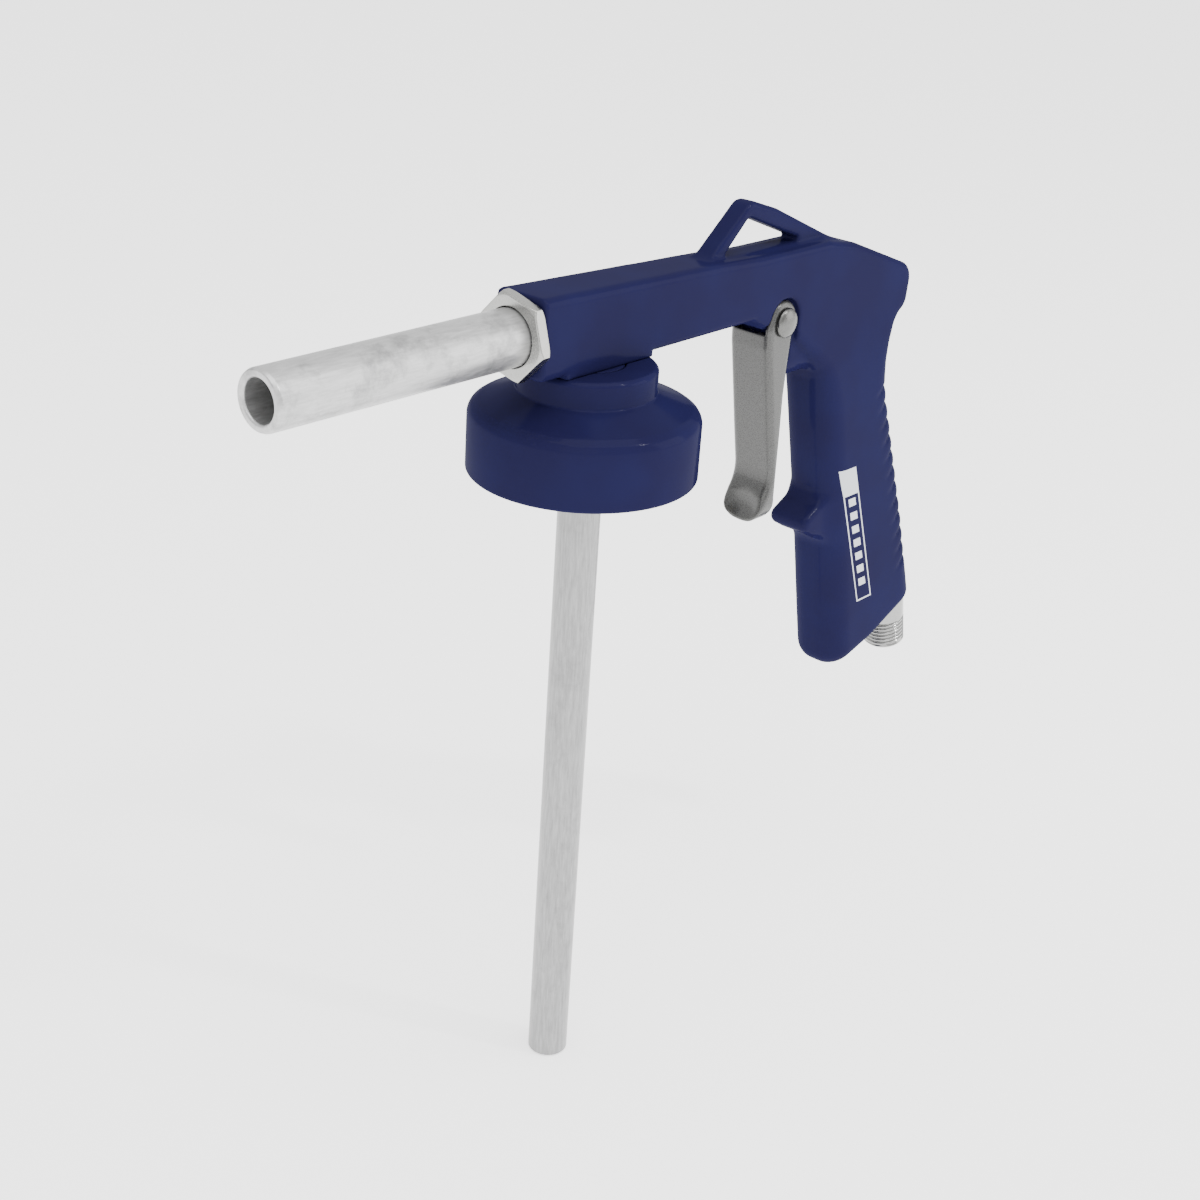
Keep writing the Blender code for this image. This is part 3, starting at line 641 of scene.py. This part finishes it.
def handle_field(x, y, z):
    """Head and grip as one flowing outline whose thickness and corners swell downwards."""
    outline = [
        (50, 17),
        (57.5, 16.7),
        (62, 14.4),
        (64.5, 12.6),
        (66.9, 12.6),
        (68.6, 9.9),
        (78, 7),
        (84, 2),
        (90.2, -4.2),
        (91.6, -7),
        (93.8, -16),
        (96.5, -27),
        (104.9, -61),
        (110.9, -88),
        (115.6, -109),
        (158.0, -109),
        (157.9, -95),
        (157.0, -90),
        (146.5, -61),
        (132.6, -27),
        (128.6, -17.5),
        (126.6, -11),
        (126.0, -6),
        (126.2, -1),
        (127.2, 4),
        *arc((134.4, 0.3), 8.3, 138, 118, 3),
        *arc((127.6, 11.2), 4.3, -30, 0, 3),
        *arc((126.1, 16.2), 5.8, 0, 70, 8),
        (102, 31),
        (90, 33.1),
        (50, 33.2),
    ]
    height = z[0, 0, :]
    half = eased(height, HANDLE_HEIGHTS, HANDLE_HALVES)[None, None, :]
    corner = eased(height, HANDLE_HEIGHTS, HANDLE_CORNERS)[None, None, :]
    back = np.interp(height, GRIP_BACK_HEIGHTS, GRIP_BACKS)[None, None, :]
    handle = rounded(prism(outline, x, z), np.abs(y) - half, corner) + ridges(x, z, back)
    below = (x - GRIP_FLOOR[0]) * math.sin(GRIP_FLOOR_RISE)
    below = below - (z - GRIP_FLOOR[1]) * math.cos(GRIP_FLOOR_RISE)
    toe = np.interp(x, GRIP_FLOOR_STATIONS, GRIP_FLOOR_EDGES)
    return rounded(handle, below, toe)


def spur_field(x, y, z):
    """The finger stop on the grip's front."""
    outline = [
        (108, -43),
        (99.5, -45.9),
        *arc((95.1, -51.2), 2.7, 122, 235, 10),
        (97.6, -55.7),
        (102, -57.3),
        (110, -60),
    ]
    return plate(outline, x, y, z, SPUR_HALF, SPUR_EDGE)


def hook_field(x, y, z):
    """The hanging loop above the barrel and its eye."""
    outline = [
        (39.8, 31),
        (41.3, 34.4),
        *arc((58.2, 42.8), 4.4, 137, 66, 8),
        (68.4, 44.2),
        (97, 32),
        (96, 29),
    ]
    eye = [
        (46.3, 33.8),
        *arc((57.0, 41.5), 1.7, 140, 66, 6),
        *arc((78, 34.6), 0.9, 62, -70, 6),
        (55, 33.7),
    ]
    loop = plate(outline, x, y, z, HOOK_HALF, HOOK_EDGE)
    return without(loop, prism(eye, x, z), HOOK_EYE_EDGE)


def web_field(x, y, z):
    """The thin wall that the trigger's ears straddle."""
    outline = [
        (62, 18),
        (66.4, 15),
        *arc((PIVOT.x, PIVOT.z), 4.6, 190, 260, 8),
        (77, 7.5),
        (77.5, 1),
        (96, -3),
        (100, 20),
    ]
    return plate(outline, x, y, z, WEB_HALF, WEB_EDGE)


def neck_field(x, y, z):
    """The block under the barrel, above the round neck."""
    half_x, half_y = NECK_BLOCK_HALVES
    low, high = NECK_BLOCK_HEIGHTS
    middle = (low + high) / 2
    block = rounded(np.abs(x) - half_x, np.abs(y) - half_y, NECK_BLOCK_CORNER)
    return rounded(block, np.abs(z - middle) - (high - middle), NECK_BLOCK_EDGE)


def swing_field(x, y, z):
    """Room on both sides of the web for the trigger's ears and cheeks."""
    outline = [
        *arc((PIVOT.x, PIVOT.z), 6.5, 165, -20, 20),
        (79.3, 2),
        (80.6, -3),
        (72, -8),
        (63.4, -8),
        (63.4, 13.6),
    ]
    return rounded(prism(outline, x, z), WEB_HALF - np.abs(y), SWING_EDGE)


def body_bores(x, y, z):
    """Every passage through the casting."""

    def inlet(distance):
        """The point that far up the inlet's axis."""
        return (INLET_FOOT.x + INLET_UP.x * distance, INLET_FOOT.z + INLET_UP.z * distance)

    # Start and end as (x, z) in the middle plane, and radius.
    runs = [
        ((-30, BARREL_Z), (8, BARREL_Z), 6.3),
        ((7, BARREL_Z), (21, BARREL_Z), 4.0),
        ((20, BARREL_Z), (83, BARREL_Z), 2.6),
        ((81.5, VALVE_Z), (81.5, BARREL_Z), 1.8),
        ((70, VALVE_Z), (114, VALVE_Z), 3.5),
        (inlet(-6), inlet(SPOT_FACE), INLET_R + INLET_GAP),
        (inlet(SPOT_FACE - 3), inlet(34), 4.9),
        (inlet(33), (109, VALVE_Z), 2.6),
        ((0, 13), (0, 23.5), 3.0),
    ]
    hollow = np.float32(1e3)
    for start, end, radius in runs:
        hollow = np.minimum(hollow, bar(x, y, z, start, end, radius))
    pin = np.hypot(x - PIVOT.x, z - PIVOT.z) - PIN_HOLE_R
    return np.minimum(hollow, pin)


def body_field(x, y, z):
    """Fillets only where shapes cross: nearly flush ones would bulge, and join plainly."""
    body = np.minimum(barrel_field(x, y, z), neck_field(x, y, z))
    handle = joined(handle_field(x, y, z), spur_field(x, y, z), SPUR_FILLET)
    body = np.minimum(body, handle)
    body = joined(body, hook_field(x, y, z), HOOK_FILLET)
    body = without(body, swing_field(x, y, z), SWING_FILLET)
    body = joined(body, web_field(x, y, z), WEB_FILLET)
    front, rear = VALVE_BOSS
    start, end = (front, VALVE_Z), (rear, VALVE_Z)
    boss = bar(x, y, z, start, end, VALVE_BOSS_R, VALVE_BOSS_EDGE)
    body = joined(body, boss, VALVE_BOSS_FILLET)
    return without(body, body_bores(x, y, z), BORE_EDGE)


def make_body(materials):
    low = (BODY_LOW.x - BODY_MARGIN, BODY_SIDE, BODY_LOW.z - BODY_MARGIN)
    high = (BODY_HIGH.x + BODY_MARGIN, 0.0, BODY_HIGH.z + BODY_MARGIN)
    body = meshed("body_casting", body_field, low, high, BODY_STEP, mirrored=True)
    finished(body, materials["body_paint"], "frame", "gun_body")


# ---------------------------------------------------------------- trigger and lock nut

TRIGGER_STEP = 0.36
TRIGGER_SIDE = -23 * TRIGGER_STEP
TRIGGER_MARGIN = 1.5
TRIGGER_HALF = 7.0
TRIGGER_WALL = 1.8
TRIGGER_EDGE = 2.2
TRIGGER_INNER_EDGE = 0.4
EAR_R = 6.0
EAR_GAP_HALF = 5.21
EAR_GAP_FLOOR = 11.0
EAR_GAP_BACK = 68.5
EAR_GAP_EDGE = 0.3
LIP_BOTTOM = -44.7
LIP_CORNER = 6.6
LIP_EDGE = 0.5
LIP_DISH = (60.2, -37.4, 10.6)
LIP_DISH_EDGE = 0.9
PIN_HOLE_EDGE = 0.2

NUT_STEP = 0.17
NUT_MARGIN = 1.0
NUT_FLAT_HALF = 9.5
NUT_FLAT_DEG = 14.0
NUT_HOLE_R = 7.2
NUT_THREAD_R = 6.3
NUT_COLLAR = 1.5
NUT_FACE_R = 10.0
NUT_CHAMFER = math.radians(32)
NUT_EDGE = 0.35
NUT_CHAMFER_EDGE = 0.2
NUT_HOLE_EDGE = 0.15


def trigger_field(x, y, z):
    """A folded channel with round ears on top and a dished lip at the bottom."""
    outline = [
        (64.8, 12.5),
        (65.2, 7),
        (70.1, -19),
        *arc((62.4, -30.5), 9.8, 12, -38, 10),
        *arc((71.0, -42.2), 3.3, 165, 240, 6),
        (71.8, -44.9),
        *arc((68.6, -38.5), 7.2, -55, 12, 8),
        (75.3, -18),
        (75, -7),
        (75.4, 0.5),
        *arc((PIVOT.x, PIVOT.z), EAR_R, -35, 130, 24),
    ]
    inner = [
        (67, 30),
        (67.1, 7),
        (72, -19),
        *arc((62.4, -30.5), 11.6, 12, -38, 10),
        (71.8, -41.0),
        (73.4, -42.2),
        (90, -40),
        (90, 30),
    ]
    shell = plate(outline, x, y, z, TRIGGER_HALF, TRIGGER_EDGE)
    hollow = plate(inner, x, y, z, TRIGGER_HALF - TRIGGER_WALL, TRIGGER_INNER_EDGE)
    shell = without(shell, hollow, TRIGGER_INNER_EDGE)
    above = np.maximum(EAR_GAP_FLOOR - z, x - EAR_GAP_BACK)
    shell = without(shell, np.maximum(np.abs(y) - EAR_GAP_HALF, above), EAR_GAP_EDGE)
    dish_x, dish_z, dish_r = LIP_DISH
    dish = np.sqrt((x - dish_x) ** 2 + y**2 + (z - dish_z) ** 2) - dish_r
    shell = without(shell, dish, LIP_DISH_EDGE)
    lip = rounded(np.abs(y) - TRIGGER_HALF, LIP_BOTTOM - z, LIP_CORNER)
    bore = np.hypot(x - PIVOT.x, z - PIVOT.z) - PIN_HOLE_R
    return without(rounded(shell, lip, LIP_EDGE), bore, PIN_HOLE_EDGE)


def make_trigger(materials):
    margin = TRIGGER_MARGIN
    low = (TRIGGER_LOW.x - margin, TRIGGER_SIDE, TRIGGER_LOW.z - margin)
    high = (TRIGGER_HIGH.x + margin, 0.0, TRIGGER_HIGH.z + margin)
    trigger = meshed("trigger_shell", trigger_field, low, high, TRIGGER_STEP, mirrored=True)
    finished(trigger, materials["trigger_steel"], "trigger", "trigger")


def nut_field(x, y, z):
    """A hexagon chamfered to round faces, with a clear hole and a short threaded collar."""
    z = z - BARREL_Z
    radius = np.hypot(y, z)
    flats = np.float32(-1e3)
    for k in range(3):
        turn = math.radians(NUT_FLAT_DEG + 60 * k)
        side = np.abs(-y * math.sin(turn) + z * math.cos(turn)) - NUT_FLAT_HALF
        flats = np.maximum(flats, side)
    middle = (NUT_LOW.x + NUT_HIGH.x) / 2
    faces = np.abs(x - middle) - (NUT_HIGH.x - middle)
    chamfer = (radius - NUT_FACE_R) * math.sin(NUT_CHAMFER)
    chamfer = chamfer + faces * math.cos(NUT_CHAMFER)
    nut = rounded(rounded(flats, faces, NUT_EDGE), chamfer, NUT_CHAMFER_EDGE)
    hole = NUT_HOLE_R - radius
    thread = np.maximum(NUT_THREAD_R - radius, NUT_LOW.x + NUT_COLLAR - x)
    return rounded(nut, np.minimum(hole, thread), NUT_HOLE_EDGE)


def make_nut(materials):
    reach = NUT_FLAT_HALF / math.cos(math.pi / 6) + NUT_MARGIN
    low = (NUT_LOW.x - NUT_MARGIN, -reach, BARREL_Z - reach)
    high = (NUT_HIGH.x + NUT_MARGIN, reach, BARREL_Z + reach)
    nut = meshed("lock_nut_hex", nut_field, low, high, NUT_STEP)
    finished(nut, materials["nut_steel"], "lock_nut", "nozzle_lock_nut")


# ---------------------------------------------------------------- turned pieces

THREAD_FLATS = (0.12, 0.88)
THREAD_POINTS = 10
THREAD_FADE_POINTS = 8
CORNER_CURVE_STEPS = 4
CORNER_LEAST_TURN = math.radians(14)
CORNER_REACH_SHARE = 0.45
ROUND_STEPS = 96
FINE_STEPS = 128
CAP_STEPS = 192
TUBE_SHARP_DEG = 40
SHARP_DEG = 50

NOZZLE_R = 7.0
NOZZLE_THREAD_R = 6.0
NOZZLE_BORE_R = 4.85
NOZZLE_OVERLAP = 0.8
CAP_PITCH = 3.0
CAP_BORE_R = 9.3
CAP_THREAD_R = 25.2
CAP_THREAD_DEPTH = 0.9
CAP_EDGE = 0.5
SUCTION_R = 5.5
SUCTION_BORE_R = 4.5
INLET_PITCH = 1.337
INLET_THREAD_DEPTH = 0.72
INLET_BORE_R = 3.2
INLET_NECK_R = 4.6
RIVET_R = 2.0
RIVET_HEAD_R = 4.1
RIVET_HEAD_HEIGHT = 1.8
RIVET_DOME = 1.55
RIVET_DOME_ANGLES = (0.0, 0.3, 0.6, 0.9, 1.25)
RIVET_EDGE = 0.15
NECK_R = 9.0
NECK_GROOVE_R = 6.9
NECK_BORE_R = 5.8
NECK_EDGE = 0.12


def wave(phase):
    """A thread's profile over one turn: 0 on the crest and 1 in the root."""
    share = phase - np.floor(phase)
    return smoothstep(1 - np.abs(2 * share - 1), *THREAD_FLATS)


def softened(profile, radius):
    """Each sharp corner of a closed profile becomes a small curve."""
    result = []
    count = len(profile)
    for i, here in enumerate(profile):
        before = Vector(profile[i - 1][:2])
        after = Vector(profile[(i + 1) % count][:2])
        at = Vector(here[:2])
        back, ahead = before - at, after - at
        turn = math.pi - back.angle(ahead, math.pi)
        if here[0] == 0 or turn < CORNER_LEAST_TURN or len(here) > 2:
            result.append(here)
            continue
        share = CORNER_REACH_SHARE
        reach = min(radius, back.length * share, ahead.length * share)
        start, end = at + back.normalized() * reach, at + ahead.normalized() * reach
        for k in range(CORNER_CURVE_STEPS + 1):
            t = k / CORNER_CURVE_STEPS
            spot = start * (1 - t) ** 2 + at * 2 * t * (1 - t) + end * t**2
            result.append((spot.x, spot.y))
    return result


def threaded_run(radius, start, end, pitch, depth):
    """Profile points along a thread, whose depth runs out at both ends."""
    count = int(abs(end - start) / pitch * THREAD_POINTS)
    points = []
    for k in range(count + 1):
        t = k / count
        fade = min(1.0, t * count / THREAD_FADE_POINTS, (1 - t) * count / THREAD_FADE_POINTS)
        points.append((radius, start + (end - start) * t, depth * fade))
    return points


def turned(name, profile, start, direction, steps, pitch=1.0, edge=0.3):
    """A closed profile of (radius, distance along the axis) swept round the axis.

    A third number in a profile point is the depth of the thread there.
    """
    profile = softened(profile, edge)
    angles = np.linspace(0, 2 * math.pi, steps, endpoint=False)
    turn = Vector((0, 0, 1)).rotation_difference(Vector(direction)).to_matrix()
    shape = bmesh.new()
    rings = []
    for radius, along, *depth in profile:
        if radius == 0:
            rings.append([shape.verts.new((0, 0, along))] * steps)
            continue
        radii = np.full(steps, float(radius))
        if depth:
            radii = radii - depth[0] * wave(along / pitch - angles / (2 * math.pi))
        spots = zip(radii * np.cos(angles), radii * np.sin(angles))
        rings.append([shape.verts.new((a, b, along)) for a, b in spots])
    for low, high in zip(rings, [*rings[1:], rings[0]]):
        for k in range(steps):
            n = (k + 1) % steps
            corners = list(dict.fromkeys((low[k], low[n], high[n], high[k])))
            if len(corners) > 2:
                shape.faces.new(corners)
    shape.transform(Matrix.Translation(Vector(start) * MM) @ turn.to_4x4() @ Matrix.Scale(MM, 4))
    bmesh.ops.recalc_face_normals(shape, faces=shape.faces)
    return placed_shape(name, shape)


def make_nozzle(materials):
    length = NOZZLE_HIGH.x - NOZZLE_LOW.x
    shoulder = NUT_LOW.x + NOZZLE_OVERLAP - NOZZLE_LOW.x
    profile = [
        (NOZZLE_BORE_R, length),
        (NOZZLE_THREAD_R, length),
        (NOZZLE_THREAD_R, shoulder),
        (NOZZLE_R, shoulder),
        (NOZZLE_R, 0.9),
        (6.6, 0.0),
        (5.25, 0.0),
        (NOZZLE_BORE_R, 0.5),
    ]
    mouth = (NOZZLE_LOW.x, 0, BARREL_Z)
    nozzle = turned("nozzle_pipe", profile, mouth, (1, 0, 0), FINE_STEPS)
    finished(nozzle, materials["nozzle"], "nozzle", "nozzle_tube", TUBE_SHARP_DEG)


def make_cap(materials):
    """The cap with its hub above and the can's thread inside."""
    bottom = CAP_BOTTOM
    profile = [
        (CAP_BORE_R, 15.4),
        (16.6, 15.4),
        (17.45, 14.5),
        (17.45, 8.6),
        (24.4, 5.6),
        (26.5, 4.9),
        (28.1, 3.8),
        (28.8, 2.6),
        (29.0, 1.6),
        (29.0, bottom + 0.6),
        (28.4, bottom),
        (25.8, bottom),
        *threaded_run(CAP_THREAD_R, bottom + 0.7, -0.8, CAP_PITCH, -CAP_THREAD_DEPTH),
        (CAP_THREAD_R, 0.0),
        (25.8, 0.0),
        (25.8, 1.5),
        (17.0, 1.5),
        (17.0, 7.0),
        (CAP_BORE_R, 7.0),
    ]
    cap = turned("threaded_cap", profile, (0, 0, 0), (0, 0, 1), CAP_STEPS, CAP_PITCH, CAP_EDGE)
    finished(cap, materials["cap_paint"], "cap", "can_cap", SHARP_DEG)


def make_suction_tube(materials):
    bottom, top = TUBE_LOW.z, TUBE_HIGH.z
    outer, bore = SUCTION_R, SUCTION_BORE_R
    profile = [(bore, top), (outer, top), (outer, bottom), (bore, bottom)]
    tube = turned("suction_pipe", profile, (0, 0, 0), (0, 0, 1), ROUND_STEPS)
    finished(tube, materials["suction"], "frame", "suction_tube", TUBE_SHARP_DEG)


def make_inlet(materials):
    """The air inlet, measured up its axis from its open end."""
    profile = [
        (INLET_BORE_R, 32.0),
        (4.2, 32.0),
        (INLET_NECK_R, 31.5),
        (INLET_NECK_R, 19.1),
        (INLET_R, 19.1),
        (INLET_R, 11.0),
        *threaded_run(INLET_R, 10.4, 1.0, INLET_PITCH, INLET_THREAD_DEPTH),
        (INLET_R - 0.9, 0.0),
        (INLET_BORE_R, 0.0),
    ]
    inlet = turned("inlet_union", profile, INLET_FOOT, INLET_UP, FINE_STEPS, INLET_PITCH)
    chrome = materials["inlet_chrome"]
    finished(inlet, chrome, "frame", "inlet_nipple", SHARP_DEG)


def make_rivet(materials):
    """The trigger's pin, with a domed head on the near side."""
    head = -PIN_NEAR_END - RIVET_HEAD_HEIGHT
    rise = RIVET_HEAD_HEIGHT - RIVET_DOME
    dome = [
        (RIVET_HEAD_R * math.cos(a), -head - rise - RIVET_DOME * math.sin(a))
        for a in RIVET_DOME_ANGLES
    ]
    profile = [
        (0, head + 0.9),
        (1.6, head + 0.9),
        (RIVET_R, head + 0.5),
        (RIVET_R, -head),
        (RIVET_HEAD_R, -head),
        *dome,
        (0, -head - RIVET_HEAD_HEIGHT),
    ]
    middle = (PIVOT.x, 0, PIVOT.z)
    rivet = turned("pivot_rivet", profile, middle, (0, 1, 0), ROUND_STEPS, edge=RIVET_EDGE)
    steel = materials["rivet_steel"]
    finished(rivet, steel, "frame", "trigger_pivot_pin", SHARP_DEG)


def make_neck(materials):
    """The round neck that the cap turns on, with its O-ring groove."""
    profile = [
        (3.0, 15.4),
        (NECK_R, 15.4),
        (NECK_R, 12.2),
        (NECK_GROOVE_R, 12.2),
        (NECK_GROOVE_R, 9.8),
        (NECK_R, 9.8),
        (NECK_R, 5.0),
        (NECK_BORE_R, 5.0),
        (NECK_BORE_R, 14.0),
        (3.0, 14.0),
    ]
    neck = turned("swivel_neck", profile, (0, 0, 0), (0, 0, 1), FINE_STEPS, edge=NECK_EDGE)
    paint = materials["body_paint"]
    finished(neck, paint, "frame", "gun_body", TUBE_SHARP_DEG)


SPRING_TURNS = 6
SPRING_TURN_STEPS = 40
SPRING_SIDES = 10
SPRING_WIRE_R = 0.35
SPRING_R = 2.4


def make_spring(materials):
    """The valve's return spring, a wire coiled along the stem's axis."""
    low, high = span("valve_spring")
    start, end = low.x + SPRING_WIRE_R, high.x - SPRING_WIRE_R
    steps = SPRING_TURNS * SPRING_TURN_STEPS
    sides = SPRING_SIDES
    shape = bmesh.new()
    rings = []
    for k in range(steps + 1):
        turn = 2 * math.pi * SPRING_TURNS * k / steps
        outward = Vector((0, math.cos(turn), math.sin(turn)))
        centre = outward * SPRING_R + Vector((start + (end - start) * k / steps, 0, VALVE_Z))
        ring = []
        for n in range(sides):
            angle = 2 * math.pi * n / sides
            offset = outward * math.cos(angle) + Vector((1, 0, 0)) * math.sin(angle)
            ring.append(shape.verts.new((centre + offset * SPRING_WIRE_R) * MM))
        rings.append(ring)
    for first, second in zip(rings, rings[1:]):
        for n in range(sides):
            m = (n + 1) % sides
            shape.faces.new((first[n], first[m], second[m], second[n]))
    shape.faces.new(rings[0])
    shape.faces.new(rings[-1])
    bmesh.ops.recalc_face_normals(shape, faces=shape.faces)
    spring = placed_shape("return_spring", shape)
    steel = materials["valve_steel"]
    finished(spring, steel, "frame", "valve_spring", SHARP_DEG)
    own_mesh(spring)


# ---------------------------------------------------------------- the whole gun


def dress_solids(materials):
    """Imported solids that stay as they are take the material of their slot."""
    slots = {
        "brass_parts": ("air_jet", "gland_nut", "valve_cartridge", "suction_fitting"),
        "rivet_steel": ("pivot_retainer",),
        "valve_steel": ("valve_stem", "thrust_washer"),
        "black_rubber": (
            "stem_packing", "cartridge_o_ring", "valve_seal_washer",
            "cap_gasket", "fitting_seal", "neck_o_ring",
        ),
        "fibre_seal": ("jet_seal", "inlet_seal"),
    }
    for slot, nodes in slots.items():
        for node in nodes:
            mesh = frame["nodes"][node].data
            mesh.materials.clear()
            mesh.materials.append(materials[slot])


make_camera()
make_light()
make_floor()
finishes = make_materials()
make_body(finishes)
make_neck(finishes)
make_trigger(finishes)
make_nut(finishes)
make_nozzle(finishes)
make_cap(finishes)
make_suction_tube(finishes)
make_inlet(finishes)
make_rivet(finishes)
make_spring(finishes)
dress_solids(finishes)
